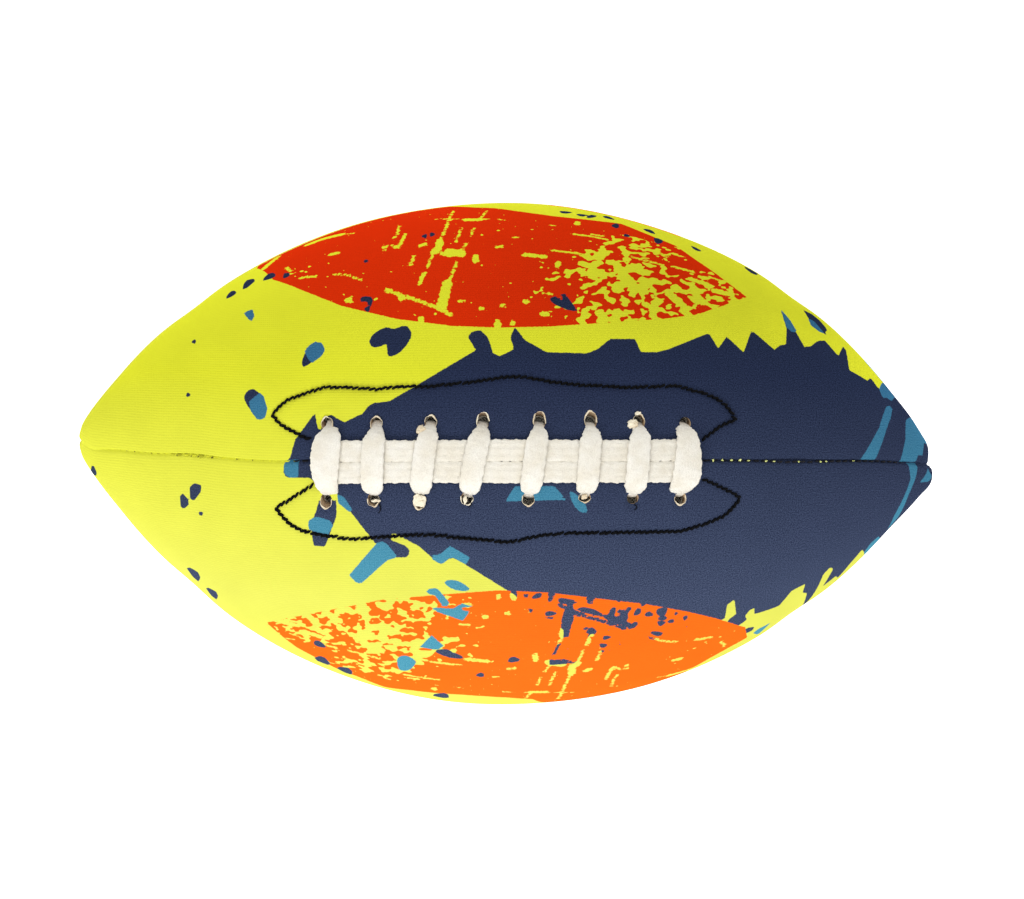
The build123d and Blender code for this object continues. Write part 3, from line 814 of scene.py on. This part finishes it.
def floor_paper():
    """White table lit from below, so that it stays evenly white under the ball."""
    p = Paint("floor_paper", roughness=0.95, specular=0.1)
    p.shader.inputs["Emission Color"].default_value = (1, 1, 1, 1)
    p.shader.inputs["Emission Strength"].default_value = 0.9
    return p.finish(p.mix(p.noise(p.here(), 2.0), linear(250, 250, 250), linear(253, 253, 253)))


FABRIC = printed_fabric()
FOAM = raw_foam()
FRAYED = frayed_knit()
FLECK_AND_HOLE_SHADE = seam_fleck_and_hole_shade()
COTTON = cotton_lace()
THREAD = sewing_thread()
SEAM_THREAD = seam_thread()
LINING = woven("woven_lining", linear(226, 220, 204), linear(160, 152, 138))
BLADDER = moulded_rubber("bladder_rubber", linear(16, 16, 17), linear(34, 34, 36), 0.42)
VALVE = moulded_rubber("valve_rubber", linear(20, 20, 21), linear(44, 44, 46), 0.5)


# --- Cover panels ---

COLUMNS = 337
SEAM_ROWS = (0.0, 0.22, 0.45, 0.7, 1.0, 1.4, 1.9, 2.6)
ROWS_BETWEEN = 125


def panel_rows():
    """Angles from one seam to the next, closer together beside the seams."""
    edge = np.array(SEAM_ROWS) / BALL_RADIUS
    middle = np.linspace(edge[-1], QUARTER - edge[-1], ROWS_BETWEEN)
    return np.concatenate([edge[:-1], middle, (QUARTER - edge[:-1])[::-1]])


RIM_STEPS = (0.35, 0.7, 1.0)


def block_edge(low, high):
    """Grid corners (i, j) round a block of cells, once round from its lowest corner."""
    across_i, across_j = range(low[0], high[0]), range(low[1], high[1])
    return (
        [(i, low[1]) for i in across_i] + [(high[0], j) for j in across_j]
        + [(i + 1, high[1]) for i in reversed(across_i)] + [(low[0], j + 1) for j in reversed(across_j)]
    )


def drawn_hole(hole_w, drawn_out):
    """Middle and half width, across the seam, of a lace hole as the lace has drawn it open."""
    middle = hole_w + math.copysign(1, hole_w) * (drawn_out - DRAWN_IN) / 2
    return middle, HOLE_RADIUS + (drawn_out + DRAWN_IN) / 2


def punch(flats, faces, count, hole, radius, middle, half_w):
    """Opens a hole in a flat grid and joins its rim to the cells round it by rings of corners.
    flats holds t and w of every corner in front, then at the back, where the hole is plain and round."""
    hole_t, hole_w = hole
    reach = half_w + 1.3
    grid_t = flats[0, :COLUMNS * count].reshape(COLUMNS, count)
    grid_w = flats[1, :COLUMNS * count].reshape(COLUMNS, count)
    near_i = np.flatnonzero(np.abs(grid_t[:, 0] - hole_t) < reach)
    near_j = np.flatnonzero(np.abs(grid_w[near_i[0]] - middle) < reach)
    low, high = (near_i[0], near_j[0]), (near_i[-1], near_j[-1])
    first = faces[:, 0]
    i, j = first // count, first % count
    cut = (first < COLUMNS * count) & (i >= low[0]) & (i < high[0]) & (j >= low[1]) & (j < high[1])
    faces = faces[~cut]
    edge = np.array([i * count + j for i, j in block_edge(low, high)])
    angle = np.arctan2((flats[1, edge] - middle) / half_w, (flats[0, edge] - hole_t) / radius)
    rim = np.stack([
        hole_t + radius * np.cos(angle),
        middle + half_w * np.sin(angle),
        hole_t + radius * np.cos(angle),
        hole_w + radius * np.sin(angle),
    ])
    outer = edge
    for step in RIM_STEPS:
        inner = flats.shape[1] + np.arange(len(edge))
        flats = np.concatenate([flats, flats[:, edge] * (1 - step) + rim * step], 1)
        ring = np.stack([outer, np.roll(outer, -1), np.roll(inner, -1), inner], 1)
        faces = np.concatenate([faces, ring])
        outer = inner
    return flats, faces


def cover_panel(name, turn, side):
    """One printed panel: a closed shell with the print's outlines stored on its corners."""
    rows = panel_rows()
    columns = np.linspace(-tip_t, tip_t, COLUMNS)
    count = len(rows)
    t = np.repeat(columns, count)
    w = np.tile(rows, COLUMNS) * meridian(t)[1] * side
    flats = np.stack([t, w, t, w])
    corner = (np.arange(COLUMNS - 1)[:, None] * count + np.arange(count - 1)[None, :]).ravel()
    faces = np.stack([corner, corner + count, corner + count + 1, corner + 1], 1)
    if turn == 0:
        for hole, drawn_out in zip(holes, DRAWN_OUT):
            if hole[1] * side > 0:
                flats, faces = punch(flats, faces, count, hole, HOLE_RADIUS, *drawn_hole(hole[1], drawn_out))
    elif side == -1:
        middle = -BALL_RADIUS * QUARTER / 2
        valve_hole = ((0.0, middle), VALVE_HOLE_RADIUS, middle, VALVE_HOLE_RADIUS)
        flats, faces = punch(flats, faces, count, *valve_hole)
    used = np.unique(faces)
    number = np.full(flats.shape[1], -1)
    number[used] = np.arange(len(used))
    faces = number[faces]
    t, w, back_t, back_w = flats[:, used]
    if side < 0:
        faces = faces[:, ::-1]
    phi = w / meridian(t)[1]
    height = relief(t, w, phi + turn, turn)
    outer = place(t, phi + turn, height)
    inner = place(back_t, turn + back_w / meridian(back_t)[1], -SKIN)
    edges = np.concatenate([faces[:, [a, (a + 1) % 4]] for a in range(4)])
    keys = {tuple(e) for e in edges.tolist()}
    rim = np.array([e for e in edges.tolist() if (e[1], e[0]) not in keys])
    size = len(t)
    walls = np.stack([rim[:, 1], rim[:, 0], rim[:, 0] + size, rim[:, 1] + size], 1)
    every = np.concatenate([faces, faces[:, ::-1] + size, walls])
    kind = np.concatenate([np.zeros(len(faces)), np.ones(len(faces) + len(walls))])
    piece = make_piece(name, np.concatenate([outer, inner]), every, [FABRIC, FOAM], kind)
    fields = {
        "navy": depth_inside(t, w, navy_outlines),
        "teal": depth_inside(t, w, teal_outlines),
        "orange": depth_inside(t, w, orange_outlines),
        "spots": depth_inside(t, w, spot_outlines),
        "worn": stroke_depth(t * side, w * side),
        "mottled": mottling(t * side, w * side),
        "flat": np.stack([t, w, np.full(size, 0.37 * turn)], 1),
    }
    for field, values in fields.items():
        store(piece, field, np.concatenate([values, values]))
    return piece


PANELS = {
    "panel_upper_rear": (0.0, 1),
    "panel_upper_front": (0.0, -1),
    "panel_lower_front": (math.pi, 1),
    "panel_lower_rear": (math.pi, -1),
}
for node, (turn, side) in PANELS.items():
    panel = cover_panel("cover_" + node, turn, side)
    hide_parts(node)


# --- Stitching ---

SHARP_CORNER = math.radians(38)


def along_line(points, pitch):
    """Places along a polyline about a pitch apart, never cutting its sharp corners."""
    points = np.asarray(points, float)
    steps = np.diff(points, axis=0)
    heading = np.arctan2(steps[:, 1], steps[:, 0])
    turns = np.abs((np.diff(heading) + math.pi) % math.tau - math.pi)
    corners = [0] + [i + 1 for i in range(len(turns)) if turns[i] > SHARP_CORNER] + [len(points) - 1]
    places = [points[:1]]
    for first, last in zip(corners, corners[1:]):
        part = points[first:last + 1]
        run = run_along(part)
        at = np.linspace(0, run[-1], max(2, round(run[-1] / pitch) + 1))[1:]
        places.append(np.stack([np.interp(at, run, part[:, k]) for k in (0, 1)], 1))
    return np.concatenate(places)


def stitch_row(gather, points, pitch, fill, radius, height, slant, seam=0.0):
    """Row of single stitches, each a bowed thread from one needle hole to the next, a little slanted."""
    rings, sides = 7, 7
    u = np.linspace(-1, 1, rings)
    around = circle(sides)
    girth = np.sqrt(np.maximum(1 - np.abs(u) ** 4, 0.08))
    places = along_line(points, pitch)
    for start, stop in zip(places, places[1:]):
        along = unit(stop - start)
        beside = np.array([-along[1], along[0]])
        middle = (start + stop) / 2 + rng.normal(0, 0.09, 2)
        half = (stop - start) / 2 * fill + beside * (slant + rng.normal(0, 0.04))
        thread = np.empty((rings, sides, 3))
        for i in range(rings):
            spread = radius * girth[i]
            thread[i, :, :2] = middle + half * u[i] + beside * (spread * np.cos(around))[:, None]
            thread[i, :, 2] = height - 0.8 * radius * u[i] ** 4 + spread * np.sin(around)
        gather.add(place_flat(thread.reshape(-1, 3), seam), ring_faces(rings, sides))


PATCH_THREAD = 0.5
for side_name, line in (("rear", stitch_lines[0]), ("front", stitch_lines[1])):
    row = Gather()
    stitch_row(row, line, PATCH_PITCH, 1.25, PATCH_THREAD, 0.0, 0.42)
    stitches = row.piece("patch_stitches_" + side_name, THREAD)
    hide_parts("patch_stitching_" + side_name)

SEAM_LACE_END = arc_length(65.0)
SEAM_TIP = tip_t - 2.0
SEAM_DEPTH = 0.98
SEAMS = {
    "seam_thread_top_left": (0.0, -SEAM_TIP, -SEAM_LACE_END),
    "seam_thread_top_right": (0.0, SEAM_LACE_END, SEAM_TIP),
    "seam_thread_rear": (QUARTER, -SEAM_TIP, SEAM_TIP),
    "seam_thread_bottom": (2 * QUARTER, -SEAM_TIP, SEAM_TIP),
    "seam_thread_front": (3 * QUARTER, -SEAM_TIP, SEAM_TIP),
}
for node, (seam, start, stop) in SEAMS.items():
    row = Gather()
    stitch_row(row, [(start, 0), (stop, 0)], SEAM_PITCH, 0.74, 0.3, -SEAM_DEPTH, 0.08, seam)
    stitches = row.piece("stitches_" + node, SEAM_THREAD)
    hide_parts(node)


# --- Lace ---

LACE_SIDES = 44


def smooth_path(points, count):
    """Smooth curve through control points, evenly parametrised (uniform cubic B-spline)."""
    p = np.asarray(points, float)
    p = np.concatenate([[2 * p[0] - p[1]], p, [2 * p[-1] - p[-2]]])
    at = np.linspace(0, len(p) - 3 - 1e-6, count)
    i = at.astype(int)
    k = (at - i)[:, None]
    return (
        (1 - k) ** 3 * p[i] + (3 * k**3 - 6 * k**2 + 4) * p[i + 1]
        + (-3 * k**3 + 3 * k**2 + 3 * k + 1) * p[i + 2] + k**3 * p[np.minimum(i + 3, len(p) - 1)]
    ) / 6


def fuzz(points, size):
    """Small soft unevenness at each point, a sum of waves in fixed random directions."""
    waves = np.random.default_rng(3)
    total = np.zeros(points.shape[:-1])
    for _ in range(9):
        direction = unit(waves.normal(0, 1, 3)) * waves.uniform(3.5, 7.5)
        total += np.sin(points @ direction + waves.uniform(0, 6.28))
    return size * total / 3


def lace_band(gather, fields, path, beside, width, thickness, grooves):
    """Soft flat cord along a flat-space path. Width and thickness may change along it, and
    grooves lists where, from -1 to 1 across, its yarns part."""
    count = len(path)
    up = unit(np.cross(beside, np.gradient(path, axis=0)))
    c, s = np.cos(circle(LACE_SIDES)), np.sin(circle(LACE_SIDES))
    across = np.sign(c) * np.abs(c) ** 0.75
    out = np.sign(s) * np.abs(s) ** 0.62
    run = run_along(path)
    parting = sum(bell(across - g, 0.07) for g in grooves) * np.abs(s)
    points = np.empty((count, LACE_SIDES, 3))
    for i in range(count):
        waver = 0.12 * np.sin(run[i] * 1.9 + 3 * c + path[0, 0]) + 0.06 * np.sin(run[i] * 4.7 + 5 * s)
        x = across * (width[i] / 2 + waver)
        y = out * (thickness[i] / 2 - 0.32 * parting + 0.3 * waver)
        points[i] = path[i] + x[:, None] * beside + y[:, None] * up[i]
    bumps = fuzz(points, 0.075)
    points += bumps[..., None] * (c[:, None] * beside + s[:, None] * up[:, None, :])
    gather.add(place_flat(points.reshape(-1, 3)), ring_faces(count, LACE_SIDES))
    fields.append(np.stack([
        np.repeat(run, LACE_SIDES) + 7 * path[0, 0],
        np.tile(across, count) * np.repeat(width, LACE_SIDES) / 2,
        np.tile(s, count),
    ], 1))


STRAND_T = 61.0
STRAND_W = 3.42
STRAND_WIDTH = 7.15
STRAND_THICKNESS = 1.7
strands, strand_fields = Gather(), []
for side in (1, -1):
    t = np.linspace(-STRAND_T, STRAND_T, 260)
    waver = 0.16 * np.sin(t / 8.4 + side) + 0.10 * np.sin(t / 3.1 + 2 * side)
    pressed = np.zeros(len(t))
    for x_rear, x_front in zip(HOLE_X_REAR, HOLE_X_FRONT):
        pressed += bell(t - arc_length((x_rear + x_front) / 2), 4.4)
    path = np.stack([t, side * STRAND_W + waver * 0.5, 0.95 - 0.16 * pressed], 1)
    lace_band(strands, strand_fields, path, np.array([0.0, -1.0, 0.0]), STRAND_WIDTH * (1 - 0.03 * pressed),
              STRAND_THICKNESS * (1 - 0.16 * pressed), (-0.34, 0.34))
strand_piece = strands.piece("lace_strands", COTTON)
store(strand_piece, "flat", np.concatenate(strand_fields))

# Half of a crossing, from inside its hole to the top: (w, h)
CROSSING = [
    (13.0, -7.0), (12.9, -4.6), (12.3, -2.8), (11.5, -1.3), (10.6, 0.0), (9.5, 1.2), (8.1, 2.3),
    (5.6, 3.05), (2.0, 3.25),
]
FRONT_TUCK = 0.8        # how much sooner the front half of a crossing goes down
# Width and sideways shift of the two broad end crossings, from the front hole to the rear hole:
# (w, width, shift along t)
END_CROSSINGS = {
    -1: [(-12.5, 4.4, 0.8), (-10.8, 5.0, 1.2), (-9.5, 6.4, 1.2), (-6.2, 8.1, 0.9), (-1.2, 9.9, 0.5),
         (3.7, 10.1, 0.8), (7.7, 9.2, 1.2), (9.4, 7.4, 1.4), (10.9, 4.7, 1.3), (12, 4.0, 1.2)],
    1: [(-12.5, 4.2, -0.4), (-10.9, 4.6, -0.9), (-8.6, 8.0, -0.5), (-5.8, 9.7, 0.6), (-0.9, 9.4, 0.8),
        (3.7, 8.4, 0.7), (8.3, 7.2, 0.3), (10.6, 5.8, -0.3), (12, 4.5, -0.5)],
}
wraps, wrap_fields = Gather(), []
for number in range(len(HOLE_X_REAR)):
    end = (number == len(HOLE_X_REAR) - 1) - (number == 0)
    (rear_t, rear_w), (front_t, front_w) = holes[number], holes[number + len(HOLE_X_REAR)]
    profile = [(FRONT_TUCK * min(1, w / 8) - w, h) for w, h in CROSSING]
    profile += [(w, h) for w, h in reversed(CROSSING)]
    across = np.array([w for w, h in profile])
    share = np.clip((across / HOLE_Y + 1) / 2, 0, 1)
    points = np.stack([
        front_t + (rear_t - front_t) * share,
        np.where(across > 0, across * rear_w, -across * front_w) / HOLE_Y,
        np.array([h for w, h in profile]) + rng.normal(0, 0.04, len(profile)),
    ], 1)
    path = smooth_path(points, 110)
    if end:
        table = np.array(END_CROSSINGS[end])
        width = np.interp(path[:, 1], table[:, 0], table[:, 1])
        shift = np.interp(path[:, 1], table[:, 0], table[:, 2])
        soft = np.ones(9) / 9
        width = np.convolve(np.pad(width, 4, "edge"), soft, "valid")
        path[:, 0] += np.convolve(np.pad(shift, 4, "edge"), soft, "valid")
    else:
        middle = 1 / (1 + np.exp((np.abs(path[:, 1]) - 9.5) / 0.7))
        width = 4.0 + (3.2 + rng.uniform(-0.25, 0.45)) * middle
        shoulder = bell(path[:, 1] - 9, 2.5)
        width -= 0.5 * shoulder
        path[:, 0] += 0.4 * shoulder
    thickness = 1.9 - 0.4 / (1 + np.exp((10.6 - np.abs(path[:, 1])) / 0.5))
    lean = unit(np.array([rear_w - front_w, front_t - rear_t, 0.0]))
    lace_band(wraps, wrap_fields, path, lean, width, thickness, ())
wrap_piece = wraps.piece("lace_crossings", COTTON)
store(wrap_piece, "flat", np.concatenate(wrap_fields))

for piece in (strand_piece, wrap_piece):
    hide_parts("lace")


# --- Frayed knit round the lace holes, and loose ends ---

CORD_SIDES = 6


def fine_cord(gather, path, radii):
    """Thin cord along a flat-space path, its radius given at each point."""
    tangent = np.gradient(path, axis=0)
    beside = unit(np.cross(tangent, (0, 0, 1.0)))
    up = unit(np.cross(beside, tangent))
    around = circle(CORD_SIDES)[None, :, None]
    ring = np.cos(around) * beside[:, None] + np.sin(around) * up[:, None]
    points = path[:, None] + ring * radii[:, None, None]
    gather.add(place_flat(points.reshape(-1, 3)), ring_faces(len(path), CORD_SIDES))


def tuft(gather, centre, size, lumps):
    """Bumpy little ball of fibre at a flat place."""
    lines, sides = 22, 28
    tilt = np.repeat(math.pi * (np.arange(lines) + 0.5) / lines, sides)
    a = np.tile(circle(sides), lines)
    way = np.stack([np.sin(tilt) * np.cos(a), np.sin(tilt) * np.sin(a), np.cos(tilt)], 1)
    grow = 1 + lumps * np.sin(3 * a + 2.3 * centre[0]) * np.sin(2 * tilt + a)
    points = np.array(centre) + way * size * grow[:, None]
    points += (fuzz(points, 0.13) + fuzz(points * 2.1, 0.09))[:, None] * np.array([1, 1, 0.6])
    gather.add(place_flat(points), ring_faces(lines, sides))


# How thick the turned-out rim is at each hole, rear row first; nothing shows where it is zero
RIMS = (0.24, 0.24, 0.3, 0.24, 0.26, 0.34, 0.2, 0.0, 0.26, 0.24, 0.3, 0.22, 0.26, 0.22, 0.0, 0.3)
fray = Gather()
for (hole_t, hole_w), drawn_out, thick in zip(holes, DRAWN_OUT, RIMS):
    if thick:
        out = math.copysign(1, hole_w)
        middle, half_w = drawn_hole(hole_w, drawn_out)
        turn = np.linspace(-1.9, 1.9, 26) + rng.normal(0, 0.25)
        ragged = 1 + 0.05 * np.sin(5.3 * turn + hole_t) + rng.normal(0, 0.015, 26)
        rim = np.stack([
            hole_t + HOLE_RADIUS * ragged * np.sin(turn),
            middle + out * half_w * ragged * np.cos(turn),
            0.05 + 0.12 * np.sin(3 * turn + hole_w) + rng.normal(0, 0.04, 26),
        ], 1)
        swell = thick * (0.75 + 0.45 * np.sin(2.6 * turn + hole_t)) * np.cos(turn / 2.05) ** 0.5
        fine_cord(fray, rim, np.maximum(swell, 0.05))
# Tufts and curls pulled out beside some holes: (x, y, lift, size along, size across, height)
TUFTS = [
    (-27.4, 10.1, 1.4, 1.7, 1.5, 1.1), (41.6, 12.2, 0.55, 1.7, 1.6, 1.0), (43.2, 15.6, 0.55, 1.1, 0.5, 0.5),
    (-28.2, -12.9, 0.55, 2.1, 2.3, 0.6), (25.7, -11.6, 0.55, 1.0, 0.8, 0.5),
    (-13.2, -12.6, 0.55, 0.7, 1.3, 0.4), (-42.4, -12.8, 0.55, 1.6, 0.5, 0.4),
]
for x, y, lift, along, across, height in TUFTS:
    tuft(fray, (arc_length(x), y, lift), (along, across, height), 0.16)
frayed = fray.piece("frayed_knit", FRAYED)

# Loose black ends at two front holes, and pale flecks of backing along the navy end's seam
loose = Gather()
for x, y, reach in ((-41.6, -13.6, 3.4), (-12.0, -12.6, 2.6), (42.2, -14.2, 2.0)):
    u = np.linspace(0, 1, 14)
    start_t = arc_length(x)
    curl = np.stack([
        start_t + 1.1 * np.sin(2.6 * u) - 0.6 * u,
        y - reach * u,
        0.4 * np.sin(math.pi * u) + 0.1,
    ], 1)
    fine_cord(loose, curl, 0.2 - 0.06 * u)
ends = loose.piece("loose_thread_ends", THREAD)

# The flecks nearest the lace are the larger ones
LARGE_FLECKS = 4
FLECKS = (68.4, 71.4, 74.4, 77.2, 80.1, 85.9, 88.6, 96.6, 104.0, 105.8, 114.8)
flecks = Gather()
for number, x in enumerate(FLECKS):
    size = 0.46 if number < LARGE_FLECKS else 0.33
    tuft(flecks, (arc_length(x), 0.1, -0.62), (size, size * 0.8, 0.3), 0.1)
# Brown flecks in the yellow end's seam: painted shade of its needle holes
for x in (-83.4, -88.7, -96.9, -101.6, -103.8, -108.5, -117.0, -122.8):
    tuft(flecks, (arc_length(x), 0.0, -0.8), (0.26, 0.22, 0.2), 0.1)
fleck_piece = flecks.piece("seam_flecks_and_hole_shade", FLECK_AND_HOLE_SHADE)


# --- CAD parts that stay ---

KEPT = {
    "lace_patch_rear": LINING, "lace_patch_front": LINING, "bladder_guard": LINING,
    "valve_housing": VALVE, "valve_core": VALVE,
}
for node, material in KEPT.items():
    dress(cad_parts[node].data, material)


# --- Soft layers under the cover, which lean sideways with it ---

def leaning_copy(node, material):
    """Copy of a CAD layer, moved sideways as the cover is."""
    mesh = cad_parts[node].data.copy()
    points = np.empty(3 * len(mesh.vertices), np.float32)
    mesh.vertices.foreach_get("co", points)
    points = points.reshape(-1, 3)
    points[:, 1] += bend(points[:, 0] / MM) * MM
    mesh.vertices.foreach_set("co", points.ravel())
    dress(mesh, material)
    piece = added("leaning_" + node, mesh)
    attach(piece, "root")
    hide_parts(node)
    return piece


for node in ("lining_upper_rear", "lining_upper_front", "lining_lower_rear", "lining_lower_front"):
    lining = leaning_copy(node, LINING)
leaning_copy("bladder", BLADDER)


# --- Floor, light and camera ---

FLOOR_HALF = 4.0


def stage_floor():
    mesh = bpy.data.meshes.new("floor")
    corners = [(x * FLOOR_HALF, y * FLOOR_HALF, 0) for x, y in ((-1, -1), (1, -1), (1, 1), (-1, 1))]
    mesh.from_pydata(corners, [], [(0, 1, 2, 3)])
    mesh.materials.append(floor_paper())
    added("floor", mesh)


def look_from(thing, eye, target, up=(0, 1, 0)):
    """Puts a camera or lamp at eye, looking at target. Its own up stays nearest to up."""
    back = (Vector(eye) - Vector(target)).normalized()
    right = Vector(up).cross(back).normalized()
    top = back.cross(right)
    thing.matrix_world = Matrix.Translation(eye) @ Matrix((right, top, back)).transposed().to_4x4()


def area_light(name, eye, size, power):
    data = bpy.data.lights.new(name, "AREA")
    data.shape = "DISK"
    data.size = size
    data.energy = power
    look_from(added(name, data), eye, (0, 0, 0.08), (0.1, 1, 0.2))


stage_floor()
area_light("key_front", (-0.35, -1.1, 1.15), 0.9, 12.8)
area_light("fill_top", (0.15, 0.35, 1.7), 1.3, 8)

world = bpy.data.worlds.new("studio")
world.use_nodes = True
background = world.node_tree.nodes["Background"].inputs
background["Color"].default_value = (1, 1, 1, 1)
background["Strength"].default_value = 0.6
bpy.context.scene.world = world
bpy.context.scene.view_settings.view_transform = "Standard"

CAMERA_DISTANCE = 12.0
VIEW_WIDTH = 0.337954       # what the camera takes in at the ball's axis
camera_data = bpy.data.cameras.new("camera")
camera_data.sensor_width = 36.0
camera_data.lens = CAMERA_DISTANCE * camera_data.sensor_width / VIEW_WIDTH
camera_data.clip_end = 40
camera = added("camera", camera_data)
target = (0.0021, 0.0018, AXIS_HEIGHT * MM)
eye = (target[0], target[1] + CAMERA_DISTANCE * math.sin(ROLL), target[2] + CAMERA_DISTANCE * math.cos(ROLL))
look_from(camera, eye, target)
bpy.context.scene.camera = camera
